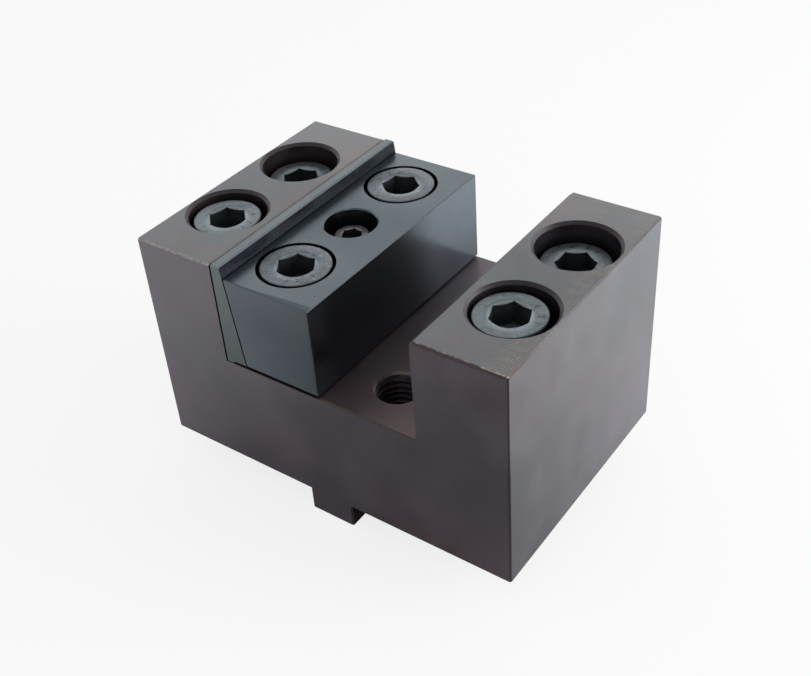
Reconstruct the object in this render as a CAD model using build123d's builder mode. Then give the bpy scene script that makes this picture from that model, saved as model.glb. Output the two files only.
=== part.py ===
from build123d import *
import os
from math import cos, radians, sin, tan

# Tool block for a square shank turning tool, clamped by a wedge.
#
# A U-shaped steel block is keyed to the machine by a tongue under its base and bolted down by
# four socket head cap screws through its two towers. The tool lies on the floor of the U
# against the fence tower. Beside it a wedge runs down a taper gib on the clamp tower: two cap
# screws draw the wedge down, and so against the tool, and a set screw in the middle jacks it
# up again.
#
# Frame: the origin is on the base's seating face, on the tongue's centre line and half way
# along the block. +X points from the clamp tower to the fence tower, +Y to the back, +Z up.
# Lengths are in millimetres and angles in degrees.

os.makedirs("parts", exist_ok=True)

# Block
block_depth = 64.0
floor_height = 30.0
slot_depth = 25.7
tool_gap = 25.0
block_chamfer = 0.4
fence_lead_in = 1.1
tongue_width = 12.0
tongue_height = 6.2

# Mounting holes, one pair in each tower, with the walls between their counterbores and the
# block's outer faces and slot
mount_outer_wall = 1.25
clamp_tower_wall = 2.85
fence_tower_wall = 3.05
mount_setback = 18.95
mount_counterbore_depth = 14.3
mount_rim_chamfer = 0.7
mount_foot_chamfer = 0.5
mount_head_clearance = 1.1
mount_bore_clearance = 0.75

# M10 socket head cap screws
screw_thread = 10.0
screw_head = 16.0
screw_head_height = 10.0
screw_head_chamfer = 0.5
screw_tip_chamfer = 1.0
screw_hex = 8.0
screw_hex_depth = 5.4
screw_hex_mouth = 0.65
mount_screw_length = 50.0
clamp_screw_length = 30.0
front_pair_lift = 2.8

# Taper gib
wedge_angle = 7.0
gib_foot = 5.6
gib_proud = 0.35
gib_chamfer = 0.3
gib_foot_land = 1.7
gib_foot_relief = 0.5

# Wedge, with its walls behind and before the clamp screws' heads
wedge_drop = 2.7
wedge_floor_gap = 0.4
wedge_chamfer = 0.2
wedge_back_wall = 0.25
wedge_front_wall = 4.3
wedge_head_clearance = 0.8
wedge_bore_clearance = 0.75
clamp_setback = 12.4

# M8 set screw that jacks the wedge up
jack_thread = 8.0
jack_length = 20.0
jack_chamfer = 0.45
jack_hex = 4.0
jack_hex_depth = 4.0
jack_hex_mouth = 0.3
jack_counterbore = 12.2
jack_counterbore_depth = 8.0
jack_rim_chamfer = 0.3

# M4 countersunk screws that hold the gib
gib_screw_thread = 4.0
gib_screw_head = 7.5
gib_screw_length = 8.0
gib_screw_hex = 2.5
gib_screw_hex_depth = 1.4
gib_screw_hex_mouth = 0.2
gib_screw_tip_chamfer = 0.5
gib_screw_setback = 8.0
gib_screw_height = 8.0
gib_screw_sink = 0.4
gib_bore_clearance = 0.25
gib_tap_reserve = 1.9

# Tapped holes in the floor
clamp_tap_reserve = 4.0
floor_hole_depth = 18.0
floor_hole_inset = 12.5
floor_hole_setback = 12.0
tap_mouth_chamfer = 0.5

# Clearances, and the point of a drill
thread_clearance = 0.05
slide_clearance = 0.05
seat_clearance = 0.05
end_clearance = 0.1
drill_point_angle = 118.0



def gib_thickness(z):
    """How thick the gib is at height z: its face leans back towards the clamp tower."""
    return gib_foot - (z - floor_height) * tan(radians(wedge_angle))


# Heights that the pieces share
tower_top = floor_height + slot_depth
mount_seat = tower_top - mount_counterbore_depth
gib_top = tower_top + gib_proud
wedge_top = tower_top - wedge_drop
wedge_foot = floor_height + wedge_floor_gap
clamp_seat = wedge_top - screw_head_height
gib_screw_z = floor_height + gib_screw_height

# Radii of the holes that the screws go through
mount_bore = screw_thread / 2 + mount_bore_clearance
mount_counterbore = screw_head / 2 + mount_head_clearance
wedge_bore = screw_thread / 2 + wedge_bore_clearance
wedge_counterbore = screw_head / 2 + wedge_head_clearance
gib_bore = gib_screw_thread / 2 + gib_bore_clearance

# The block's width, stacked up from the clamp tower, gib, wedge, tool and fence tower
slide_gap = slide_clearance / cos(radians(wedge_angle))
clamp_tower_width = mount_outer_wall + 2 * mount_counterbore + clamp_tower_wall
fence_tower_width = mount_outer_wall + 2 * mount_counterbore + fence_tower_wall
clamp_offset = gib_thickness(clamp_seat) + slide_gap + wedge_back_wall + wedge_counterbore
wedge_room = clamp_offset + wedge_counterbore + wedge_front_wall
block_width = clamp_tower_width + wedge_room + tool_gap + fence_tower_width
left_face = -block_width / 2
right_face = block_width / 2
front_face = -block_depth / 2
clamp_wall = left_face + clamp_tower_width
fence_wall = right_face - fence_tower_width
wedge_face = clamp_wall + wedge_room
clamp_x = clamp_wall + clamp_offset
mount_pitch_x = block_width - 2 * (mount_outer_wall + mount_counterbore)
mount_pitch_y = block_depth - 2 * mount_setback

# Front and rear places along the block, and the turn of each socket
clamp_y = block_depth / 2 - clamp_setback
gib_screw_y = block_depth / 2 - gib_screw_setback
clamp_screws = {"front": (-clamp_y, 3.0), "rear": (clamp_y, 22.0)}
gib_screws = {"front": -gib_screw_y, "rear": gib_screw_y}
jack_socket_turn = 53.0

# The mounting screws hang loose in their holes: the side and row of each hole, the share of
# its play by which its screw leans, which way it leans, and the turn of its socket
mount_screws = {
    "front_left": (-1, -1, 0.6, 264.0, 14.0),
    "front_right": (1, -1, 0.84, 198.0, 50.0),
    "rear_left": (-1, 1, 0.3, 207.0, 15.0),
    "rear_right": (1, 1, 0.33, 233.0, 28.0),
}


def drill_point(radius):
    """How deep a cone a drill of this radius leaves."""
    return radius / tan(radians(drill_point_angle / 2))


def upright(x, y):
    """The plane through a vertical axis, with its own y upwards."""
    return Plane((x, y, 0), x_dir=(1, 0, 0), z_dir=(0, -1, 0))


def cut_round(x, y, outline):
    """Cuts what the outline, points of radius and height, sweeps about the axis at x, y."""
    with BuildSketch(upright(x, y)) as half:
        with BuildLine():
            Polyline(*outline, close=True)
        make_face()
    revolve(half.sketch, axis=Axis((x, y, 0), (0, 0, 1)), mode=Mode.SUBTRACT)


def cut_tapped_hole(x, y, top, depth):
    """A blind hole for a screw's thread, drawn at the thread's outer diameter."""
    radius = screw_thread / 2 + thread_clearance
    cut_round(
        x,
        y,
        (
            (0, top),
            (radius + tap_mouth_chamfer, top),
            (radius, top - tap_mouth_chamfer),
            (radius, top - depth),
            (0, top - depth - drill_point(radius)),
        ),
    )


def cut_hex_socket(plane, across_flats, depth, mouth, turn):
    """A hexagon socket sunk into the plane, with a chamfered mouth."""
    with BuildSketch(plane) as hexagon:
        RegularPolygon(across_flats / 2, 6, major_radius=False, rotation=turn)
    extrude(hexagon.sketch, amount=-depth, mode=Mode.SUBTRACT)
    with BuildSketch(plane) as ring:
        Circle(across_flats / 2 + mouth)
    extrude(ring.sketch, amount=-drill_point(mouth), taper=drill_point_angle / 2, mode=Mode.SUBTRACT)


def cap_screw(x, y, seat, length, turn):
    """A socket head cap screw whose head stands on height seat."""
    with BuildPart() as screw:
        with BuildSketch(Plane((x, y, seat))):
            Circle(screw_head / 2)
        extrude(amount=screw_head_height)
        chamfer(screw.faces().sort_by(Axis.Z)[-1].edges(), screw_head_chamfer)
        with BuildSketch(Plane((x, y, seat))):
            Circle(screw_thread / 2)
        extrude(amount=-length)
        chamfer(screw.faces().sort_by(Axis.Z)[0].edges(), screw_tip_chamfer)
        head_top = Plane((x, y, seat + screw_head_height))
        cut_hex_socket(head_top, screw_hex, screw_hex_depth, screw_hex_mouth, turn)
    return screw


# Where the screws end, and how deep their threads go
clamp_tip = clamp_seat - clamp_screw_length
clamp_tap_depth = floor_height - clamp_tip + clamp_tap_reserve
gib_head_wall = clamp_wall + gib_thickness(gib_screw_z + gib_screw_head / 2) - gib_screw_sink
gib_screw_tip = gib_head_wall - gib_screw_length
gib_tap_depth = clamp_wall - gib_screw_tip + gib_tap_reserve

# The block: one piece of steel, milled to a U with a tongue under its base, its holes drilled
# from above
with BuildPart() as tool_block:
    with BuildSketch(Plane.XZ):
        with BuildLine():
            Polyline(
                (left_face, 0),
                (-tongue_width / 2, 0),
                (-tongue_width / 2, -tongue_height),
                (tongue_width / 2, -tongue_height),
                (tongue_width / 2, 0),
                (right_face, 0),
                (right_face, tower_top),
                (fence_wall, tower_top),
                (fence_wall, floor_height),
                (clamp_wall, floor_height),
                (clamp_wall, tower_top),
                (left_face, tower_top),
                close=True,
            )
        section = make_face()
        heights = section.vertices().group_by(Axis.Y)
        toes, feet, tops = heights[0], heights[1].sort_by(Axis.X), heights[-1].sort_by(Axis.X)
        chamfer([*toes, feet[0], feet[-1], tops[0], tops[-1]], block_chamfer)
        chamfer(tops[2], fence_lead_in)
    extrude(amount=block_depth / 2, both=True)
    ends = tool_block.faces().filter_by(Axis.Y).sort_by(Axis.Y)
    chamfer([*ends[0].edges(), *ends[-1].edges()], block_chamfer)
    with BuildSketch(Plane.XY.offset(tower_top)):
        with GridLocations(mount_pitch_x, mount_pitch_y, 2, 2):
            Circle(mount_counterbore)
    extrude(amount=-mount_counterbore_depth, mode=Mode.SUBTRACT)
    rims = tool_block.edges().filter_by(GeomType.CIRCLE).group_by(Axis.Z)[-1]
    chamfer(rims, mount_rim_chamfer)
    with BuildSketch():
        with GridLocations(mount_pitch_x, mount_pitch_y, 2, 2):
            Circle(mount_bore)
    extrude(amount=mount_seat, mode=Mode.SUBTRACT)
    mouths = tool_block.edges().filter_by(GeomType.CIRCLE).group_by(Axis.Z)[0]
    chamfer(mouths, mount_foot_chamfer)
    for y, _ in clamp_screws.values():
        cut_tapped_hole(clamp_x, y, floor_height, clamp_tap_depth)
    cut_tapped_hole(
        fence_wall - floor_hole_inset, front_face + floor_hole_setback, floor_height, floor_hole_depth
    )
    for y in gib_screws.values():
        with BuildSketch(Plane((clamp_wall, y, gib_screw_z), z_dir=(1, 0, 0))):
            Circle(gib_screw_thread / 2 + thread_clearance)
        extrude(amount=-gib_tap_depth, mode=Mode.SUBTRACT)
tool_block.part.label = "tool_block"
export_step(tool_block.part, "parts/tool_block.step")

# The taper gib: a hardened plate on the clamp tower's inner wall, ground to the wedge's angle
relief_top = floor_height + gib_foot_relief
with BuildPart() as taper_gib:
    with BuildSketch(Plane.XZ):
        with BuildLine():
            Polyline(
                (clamp_wall, floor_height),
                (clamp_wall, gib_top),
                (clamp_wall + gib_thickness(gib_top), gib_top),
                (clamp_wall + gib_thickness(relief_top), relief_top),
                (clamp_wall + gib_foot_land + gib_foot_relief, relief_top),
                (clamp_wall + gib_foot_land, floor_height),
                close=True,
            )
        make_face()
    extrude(amount=block_depth / 2, both=True)
    chamfer(taper_gib.faces().sort_by(Axis.Z)[-1].edges(), gib_chamfer)
    for y in gib_screws.values():
        axis = Axis((0, y, gib_screw_z), (1, 0, 0))
        head = gib_screw_head / 2 + seat_clearance
        with BuildSketch(Plane((0, y, gib_screw_z), x_dir=(1, 0, 0), z_dir=(0, -1, 0))):
            with BuildLine():
                Polyline(
                    (clamp_wall, 0),
                    (clamp_wall, gib_bore),
                    (gib_head_wall - (head - gib_bore), gib_bore),
                    (gib_head_wall, head),
                    (clamp_wall + gib_foot, head),
                    (clamp_wall + gib_foot, 0),
                    close=True,
                )
            make_face()
        revolve(axis=axis, mode=Mode.SUBTRACT)
taper_gib.part.label = "taper_gib"
export_step(taper_gib.part, "parts/taper_gib.step")

# Two countersunk screws, sunk below the gib's face, hold it to the tower
for name, y in gib_screws.items():
    axis = Axis((0, y, gib_screw_z), (1, 0, 0))
    shank, head = gib_screw_thread / 2, gib_screw_head / 2
    with BuildPart() as gib_screw:
        with BuildSketch(Plane((0, y, gib_screw_z), x_dir=(1, 0, 0), z_dir=(0, -1, 0))):
            with BuildLine():
                Polyline(
                    (gib_screw_tip, 0),
                    (gib_screw_tip, shank - gib_screw_tip_chamfer),
                    (gib_screw_tip + gib_screw_tip_chamfer, shank),
                    (gib_head_wall - (head - shank), shank),
                    (gib_head_wall, head),
                    (gib_head_wall, 0),
                    close=True,
                )
            make_face()
        revolve(axis=axis)
        head_face = Plane((gib_head_wall, y, gib_screw_z), z_dir=(1, 0, 0))
        cut_hex_socket(head_face, gib_screw_hex, gib_screw_hex_depth, gib_screw_hex_mouth, 0)
    gib_screw.part.label = f"gib_screw_{name}"
    export_step(gib_screw.part, f"parts/gib_screw_{name}.step")

# The wedge: its face runs on the gib with a sliding clearance, its other face grips the tool
with BuildPart() as clamp_wedge:
    with BuildSketch(Plane.XZ):
        with BuildLine():
            Polyline(
                (clamp_wall + gib_thickness(wedge_foot) + slide_gap, wedge_foot),
                (clamp_wall + gib_thickness(wedge_top) + slide_gap, wedge_top),
                (wedge_face, wedge_top),
                (wedge_face, wedge_foot),
                close=True,
            )
        section = make_face()
        chamfer(section.vertices(), wedge_chamfer)
    extrude(amount=block_depth / 2 - end_clearance, both=True)
    ends = clamp_wedge.faces().filter_by(Axis.Y)
    chamfer(ends.edges(), wedge_chamfer)
    for y, _ in clamp_screws.values():
        with Locations((clamp_x, y, wedge_top)):
            CounterBoreHole(wedge_bore, wedge_counterbore, screw_head_height + seat_clearance)
    with Locations((clamp_x, 0, wedge_top)):
        CounterBoreHole(
            jack_thread / 2 + thread_clearance, jack_counterbore / 2, jack_counterbore_depth
        )
    jack_rim = clamp_wedge.edges().filter_by(GeomType.CIRCLE).group_by(Axis.Z)[-1]
    jack_rim = jack_rim.sort_by_distance((clamp_x, 0, wedge_top))[0]
    chamfer(jack_rim, jack_rim_chamfer)
clamp_wedge.part.label = "clamp_wedge"
export_step(clamp_wedge.part, "parts/clamp_wedge.step")

# The clamp screws: their heads lie flush in the wedge and their threads run in the block
for name, (y, turn) in clamp_screws.items():
    screw = cap_screw(clamp_x, y, clamp_seat, clamp_screw_length, turn)
    screw.part.label = f"clamp_screw_{name}"
    export_step(screw.part, f"parts/clamp_screw_{name}.step")

# The jack screw: a set screw through the wedge, with its flat tip on the floor
jack_tip = floor_height + seat_clearance
with BuildPart() as jack_screw:
    with BuildSketch(Plane((clamp_x, 0, jack_tip))):
        Circle(jack_thread / 2)
    extrude(amount=jack_length)
    chamfer(jack_screw.edges().filter_by(GeomType.CIRCLE), jack_chamfer)
    jack_top = Plane((clamp_x, 0, jack_tip + jack_length))
    cut_hex_socket(jack_top, jack_hex, jack_hex_depth, jack_hex_mouth, jack_socket_turn)
jack_screw.part.label = "jack_screw"
export_step(jack_screw.part, "parts/jack_screw.step")

# The mounting screws: the rear pair stands on its seats, the front pair a little above them
for name, (side, row, share, way, turn) in mount_screws.items():
    lean = share * mount_bore_clearance
    x = side * mount_pitch_x / 2 + lean * cos(radians(way))
    y = row * mount_pitch_y / 2 + lean * sin(radians(way))
    lift = front_pair_lift if row < 0 else 0
    screw = cap_screw(x, y, mount_seat + lift, mount_screw_length, turn)
    screw.part.label = f"mount_screw_{name}"
    export_step(screw.part, f"parts/mount_screw_{name}.step")
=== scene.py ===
"""The looks of a square shank tool block: the steel block with its locating tongue, the taper
gib, the clamp wedge and the socket head screws."""

from math import cos, pi, radians, sin

import bmesh
import bpy
from mathutils import Matrix, Vector


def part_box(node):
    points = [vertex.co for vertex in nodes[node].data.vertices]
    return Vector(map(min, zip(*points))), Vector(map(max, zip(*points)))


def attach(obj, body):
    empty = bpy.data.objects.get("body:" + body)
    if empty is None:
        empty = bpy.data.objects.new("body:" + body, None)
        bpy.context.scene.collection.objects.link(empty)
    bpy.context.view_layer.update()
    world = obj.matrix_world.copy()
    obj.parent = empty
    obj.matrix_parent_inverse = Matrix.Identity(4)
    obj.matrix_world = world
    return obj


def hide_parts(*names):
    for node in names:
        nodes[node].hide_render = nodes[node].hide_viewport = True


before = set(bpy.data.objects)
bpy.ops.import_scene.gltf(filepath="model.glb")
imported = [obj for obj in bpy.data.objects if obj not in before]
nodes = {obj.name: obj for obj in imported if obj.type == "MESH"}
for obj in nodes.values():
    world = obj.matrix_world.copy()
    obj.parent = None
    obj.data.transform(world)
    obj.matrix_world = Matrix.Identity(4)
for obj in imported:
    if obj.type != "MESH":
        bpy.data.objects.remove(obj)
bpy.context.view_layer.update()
scene = bpy.context.scene
scene.view_settings.view_transform = "Standard"
mm = 0.001

# Camera
# The photograph is taken from the right, in front and above, with a normal lens held a few
# degrees off level. The block lies a little left of and above its middle.
camera_right = Vector((0.80923, 0.58317, -0.07110))
camera_up = Vector((-0.30422, 0.51950, 0.79848))
camera_back = Vector((0.50258, -0.62452, 0.59781))
camera_data = bpy.data.cameras.new("camera")
camera_data.sensor_width = 36.0
camera_data.lens = 51.9
camera_data.shift_x = 0.02377
camera_data.shift_y = -0.01216
camera_data.clip_start = 0.01
camera = bpy.data.objects.new("camera", camera_data)
camera.matrix_world = Matrix((camera_right, camera_up, camera_back)).transposed().to_4x4()
camera.location = (0.13357, -0.17224, 0.19099)
scene.collection.objects.link(camera)
scene.camera = camera

# Floor
# A pale table top. The loose mounting screws stick out of the base, so the block stands on the
# front edge of its tongue and on the ends of the rear pair, and the table slopes under it. What
# the steel mirrors of the table is shaded towards the near right corner.
block_low, block_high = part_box("tool_block")
rear_screw_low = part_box("mount_screw_rear_left")[0]
edge_chamfer = 0.4 * mm
head_overhang = 4.0 * mm
tongue_edge_y, tongue_foot = block_low.y + edge_chamfer, block_low.z
screw_end_y, screw_end = rear_screw_low.y + head_overhang, rear_screw_low.z
floor_slope = (screw_end - tongue_foot) / (screw_end_y - tongue_edge_y)
floor_radius = 2.5
floor_sides = 96
floor_white = (0.86, 0.86, 0.86, 1)
floor_shade = (0.155, 0.155, 0.16, 1)
glow_share = 0.8


def add_node(tree, kind, **settings):
    """A new node of that kind, with its settings."""
    made = tree.nodes.new(kind)
    for name, value in settings.items():
        setattr(made, name, value)
    return made


def feed(tree, socket, value):
    """Links a socket to another, or gives it a plain value."""
    if isinstance(value, bpy.types.NodeSocket):
        tree.links.new(value, socket)
    else:
        socket.default_value = value


def reckon(tree, operation, *values, clamp=False):
    """Arithmetic on sockets and plain numbers."""
    maths = add_node(tree, "ShaderNodeMath", operation=operation, use_clamp=clamp)
    for socket, value in zip(maths.inputs, values):
        feed(tree, socket, value)
    return maths.outputs[0]


def times(tree, first, *others):
    """The product of two or more values."""
    product = first
    for other in others:
        product = reckon(tree, "MULTIPLY", product, other)
    return product


def between(tree, value, low, high, first=0.0, last=1.0):
    """Goes softly from first to last as the value goes from low to high."""
    ramp = add_node(tree, "ShaderNodeMapRange", interpolation_type="SMOOTHSTEP")
    for name, given in (("Value", value), ("From Min", low), ("From Max", high),
                        ("To Min", first), ("To Max", last)):
        feed(tree, ramp.inputs[name], given)
    return ramp.outputs["Result"]


def mixed(tree, share, first, second, how="MIX"):
    """Two colours mixed by a share."""
    mix = add_node(tree, "ShaderNodeMix", data_type="RGBA", blend_type=how)
    feed(tree, mix.inputs[0], share)
    feed(tree, mix.inputs[6], first)
    feed(tree, mix.inputs[7], second)
    return mix.outputs[2]


floor_mesh = bpy.data.meshes.new("table_top")
floor_form = bmesh.new()
rim = []
for side in range(floor_sides):
    turned = side * 2 * pi / floor_sides
    x, y = floor_radius * cos(turned), floor_radius * sin(turned)
    rim.append(floor_form.verts.new((x, y, tongue_foot + (y - tongue_edge_y) * floor_slope)))
floor_form.faces.new(rim)
floor_form.to_mesh(floor_mesh)
floor_form.free()
table_top = bpy.data.objects.new("table_top", floor_mesh)
scene.collection.objects.link(table_top)

table_white = bpy.data.materials.new("table_white")
table_white.use_nodes = True
tree = table_white.node_tree
tree.nodes.clear()
output = add_node(tree, "ShaderNodeOutputMaterial")
path = add_node(tree, "ShaderNodeLightPath")
where = add_node(tree, "ShaderNodeSeparateXYZ")
feed(tree, where.inputs[0], add_node(tree, "ShaderNodeTexCoord").outputs["Object"])
x, y, _ = where.outputs
backward = reckon(tree, "SUBTRACT", times(tree, y, 0.8), times(tree, x, 0.6))
leftward = reckon(tree, "SUBTRACT", times(tree, x, -0.8), times(tree, y, 0.1))
right_part = times(tree, between(tree, backward, -0.09, 0.03), between(tree, x, 0.03, 0.055))
lit = reckon(tree, "MAXIMUM", right_part, between(tree, leftward, 0.008, 0.092))
lit = reckon(tree, "MAXIMUM", lit, path.outputs["Is Camera Ray"])
matt = add_node(tree, "ShaderNodeBsdfDiffuse")
feed(tree, matt.inputs["Color"], mixed(tree, lit, floor_shade, floor_white))
glow = add_node(tree, "ShaderNodeEmission")
glow.inputs["Color"].default_value = (1, 1, 1, 1)
seen = add_node(tree, "ShaderNodeMixShader")
feed(tree, seen.inputs[0], times(tree, path.outputs["Is Camera Ray"], glow_share))
feed(tree, seen.inputs[1], matt.outputs[0])
feed(tree, seen.inputs[2], glow.outputs[0])
feed(tree, output.inputs["Surface"], seen.outputs[0])
floor_mesh.materials.append(table_white)

# Lamps
# Soft light all round from pale walls, which are bright up to about 30 degrees over the table,
# and a dimmer ceiling. The walls are brighter behind and to the left, and a large low lamp
# stands at the right for the fence side. The front stays in shade.
wall_light = 1.15
ceiling_light = 0.58
behind_light = 0.55
behind = (-0.93, 0.367, 0.0)
walls_end, ceiling_starts = sin(radians(28)), sin(radians(37))
behind_fades, behind_ends = sin(radians(17)), sin(radians(27))
world = bpy.data.worlds.new("studio")
scene.world = world
world.use_nodes = True
tree = world.node_tree
tree.nodes.clear()
output = add_node(tree, "ShaderNodeOutputWorld")
sky = add_node(tree, "ShaderNodeBackground")
sky.inputs["Color"].default_value = (1, 1, 1, 1)
path = add_node(tree, "ShaderNodeLightPath")
seen = reckon(tree, "MAXIMUM", path.outputs["Is Camera Ray"], path.outputs["Is Transmission Ray"])
aim = add_node(tree, "ShaderNodeTexCoord").outputs["Generated"]
facing = add_node(tree, "ShaderNodeVectorMath", operation="DOT_PRODUCT")
feed(tree, facing.inputs[0], aim)
facing.inputs[1].default_value = behind
towards = reckon(tree, "MAXIMUM", facing.outputs["Value"], 0.0)
direction = add_node(tree, "ShaderNodeSeparateXYZ")
feed(tree, direction.inputs[0], aim)
steepness = direction.outputs[2]
even = between(tree, steepness, walls_end, ceiling_starts, wall_light, ceiling_light)
from_behind = times(tree, towards, towards, between(
    tree, steepness, behind_fades, behind_ends, behind_light, 0.0))
light = reckon(tree, "ADD", from_behind, even)
feed(tree, sky.inputs["Strength"], reckon(tree, "MAXIMUM", seen, light))
feed(tree, output.inputs["Surface"], sky.outputs[0])

block_middle = Vector((0, 0, 0.03))
lamp_data = bpy.data.lights.new("side_lamp", "AREA")
lamp_data.shape = "SQUARE"
lamp_data.size = 0.4
lamp_data.energy = 5.2
side_lamp = bpy.data.objects.new("side_lamp", lamp_data)
side_lamp.location = (0.6, 0.3, 0.13)
side_lamp.rotation_euler = (block_middle - side_lamp.location).to_track_quat("-Z", "Y").to_euler()
scene.collection.objects.link(side_lamp)

# Block
# One piece of milled steel with a black oxide that has turned plum brown. A face cutter left
# its arcs on the tower tops. They are rubbed bare beside the outer edge of the fence tower.
outer_x, front_y, tower_z = block_high.x, block_low.y, block_high.z
fence_x = 25.5 * mm
slot_z = 30.0 * mm
seam_x = -25.80 * mm
hole_x, hole_y = 37.652 * mm, 13.05 * mm
bore_radius, rim_radius = 9.1 * mm, 9.8 * mm
cutter_centre = (122.5 * mm, -18.8 * mm, 0)
cutter_pitch = 0.43 * mm
plum = (0.218, 0.205, 0.222, 1)
grey = (0.201, 0.208, 0.221, 1)
sea_grey = (0.186, 0.209, 0.218, 1)


def new_finish(name, metal, roughness):
    """A material with its shader, and the sockets that tell where on the object a point is and
    which way its face looks."""
    material = bpy.data.materials.new(name)
    material.use_nodes = True
    tree = material.node_tree
    shader = tree.nodes["Principled BSDF"]
    shader.inputs["Metallic"].default_value = metal
    shader.inputs["Roughness"].default_value = roughness
    where = add_node(tree, "ShaderNodeTexCoord")
    place = add_node(tree, "ShaderNodeSeparateXYZ")
    facing = add_node(tree, "ShaderNodeSeparateXYZ")
    feed(tree, place.inputs[0], where.outputs["Object"])
    feed(tree, facing.inputs[0], where.outputs["Normal"])
    return material, tree, shader, where.outputs["Object"], place.outputs, facing.outputs


def mottle(tree, place, scale, detail=2.0, rough=0.5):
    """Cloudy noise from 0 to 1, with scale patches to the metre."""
    cloud = add_node(tree, "ShaderNodeTexNoise", normalize=True)
    feed(tree, cloud.inputs["Vector"], place)
    cloud.inputs["Scale"].default_value = scale
    cloud.inputs["Detail"].default_value = detail
    cloud.inputs["Roughness"].default_value = rough
    return cloud.outputs[0]


def shifted(tree, place, move, stretch=(1, 1, 1), turn=(0, 0, 0)):
    """The place moved, turned and stretched, so that a pattern takes that shape."""
    mapping = add_node(tree, "ShaderNodeMapping", vector_type="POINT")
    feed(tree, mapping.inputs["Vector"], place)
    mapping.inputs["Location"].default_value = move
    mapping.inputs["Rotation"].default_value = turn
    mapping.inputs["Scale"].default_value = stretch
    return mapping.outputs[0]


def emboss(tree, shader, height, depth, strength=1.0, under=None):
    """Raises the shader's surface by height times depth."""
    bump = add_node(tree, "ShaderNodeBump")
    bump.inputs["Distance"].default_value = depth
    bump.inputs["Strength"].default_value = strength
    feed(tree, bump.inputs["Height"], height)
    if under is not None:
        feed(tree, bump.inputs["Normal"], under)
    feed(tree, shader.inputs["Normal"], bump.outputs[0])
    return bump.outputs[0]


def lightness(tree, cloud, low, high):
    """A grey between low and high that follows a cloud."""
    return between(tree, cloud, 0.3, 0.7, low, high)


def near(tree, value, middle, full, none, most=1.0):
    """Equals most within full of the middle, and falls to 0 at none from it."""
    away = reckon(tree, "ABSOLUTE", reckon(tree, "SUBTRACT", value, middle))
    return between(tree, away, full, none, most, 0.0)


def distance(tree, along_x, along_y):
    """How far off a point is, from how far it lies along x and along y."""
    squares = reckon(tree, "ADD", times(tree, along_x, along_x), times(tree, along_y, along_y))
    return reckon(tree, "SQRT", squares)


def blend(tree, value, low, high, first, last):
    """A colour that goes softly from first to last as the value goes from low to high."""
    return mixed(tree, between(tree, value, low, high), first, last)


def coated(tree, colour, coats, how="MIX"):
    """A colour with coats over it, each laid on what is there by its own share."""
    for share, coat in coats:
        colour = mixed(tree, share, colour, coat, how)
    return colour


def dress(node, material):
    """Gives a CAD node its one material."""
    node.data.materials.clear()
    node.data.materials.append(material)


block_oxide, tree, shader, place, (x, y, z), (nx, ny, nz) = new_finish("block_oxide", 0.8, 0.4)
square_on = reckon(tree, "ABSOLUTE", nz)
for side in (nx, ny):
    square_on = reckon(tree, "MAXIMUM", square_on, reckon(tree, "ABSOLUTE", side))
slanted = between(tree, square_on, 0.80, 0.90, 1.0, 0.0)
upward = between(tree, nz, 0.88, 0.98)
rightward = between(tree, nx, 0.9, 0.97)
frontward = between(tree, ny, -0.9, -0.97)
at_top = between(tree, z, tower_z - 3.0 * mm, tower_z - 1.2 * mm)
at_front = between(tree, y, front_y + 0.9 * mm, front_y + 0.5 * mm)
at_side = between(tree, x, outer_x - 0.9 * mm, outer_x - 0.5 * mm)
tower_top = times(tree, upward, at_top)
slot_floor = times(tree, upward, reckon(tree, "SUBTRACT", 1.0, at_top))
on_fence = between(tree, x, fence_x - 1 * mm, fence_x)

green_cloud = mottle(tree, shifted(tree, place, (0.31, 0.17, 0.05)), 31.0, 2.0, 0.5)
colour = blend(tree, mottle(tree, place, 24.0, 1.5, 0.45), 0.38, 0.62, plum, grey)
colour = mixed(tree, between(tree, green_cloud, 0.50, 0.68, 0.0, 0.6), colour, sea_grey)

# the slot's floor is browner, and a dark red-brown seam with a band of painted shade runs beside
# the gib
floor_brown = (0.182, 0.122, 0.128, 1)
# painted shade: the slot's floor is darker beside the wedge, where the slot lies in shadow
shaded_brown_by_wedge = (0.120, 0.071, 0.082, 1)
seam_shade = (0.074, 0.068, 0.072, 1)
seam_black, seam_red = (0.028, 0.022, 0.024, 1), (0.065, 0.018, 0.016, 1)
stain_pink = (0.26, 0.19, 0.185, 1)
spot_cloud = mottle(tree, shifted(tree, place, (0.1, 0.4, 0.0)), 160.0, 3.0)
red_spots = between(tree, spot_cloud, 0.45, 0.62)
left_of_seam = times(tree, between(tree, x, seam_x - 7 * mm, seam_x - 1 * mm),
                     between(tree, x, seam_x + 1 * mm, seam_x))
pink = reckon(tree, "ADD", times(tree, red_spots, 0.28), times(tree, left_of_seam, 0.22))
# painted shade in a band along the seam, where the gib stands a little above the tower top
seam_shade_band = near(tree, x, seam_x, 0.40 * mm, 0.80 * mm, 0.85)
seam = times(tree, near(tree, x, seam_x, 0.15 * mm, 0.42 * mm),
             between(tree, red_spots, 0, 1, 0.7, 1.0))
colour = coated(tree, colour, (
    (times(tree, slot_floor, 0.8), blend(tree, x, 1 * mm, 13 * mm, shaded_brown_by_wedge, floor_brown)),
    (times(tree, tower_top, seam_shade_band), seam_shade),
    (times(tree, tower_top, seam), mixed(tree, red_spots, seam_black, seam_red)),
    (times(tree, tower_top, pink), stain_pink)))
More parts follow.
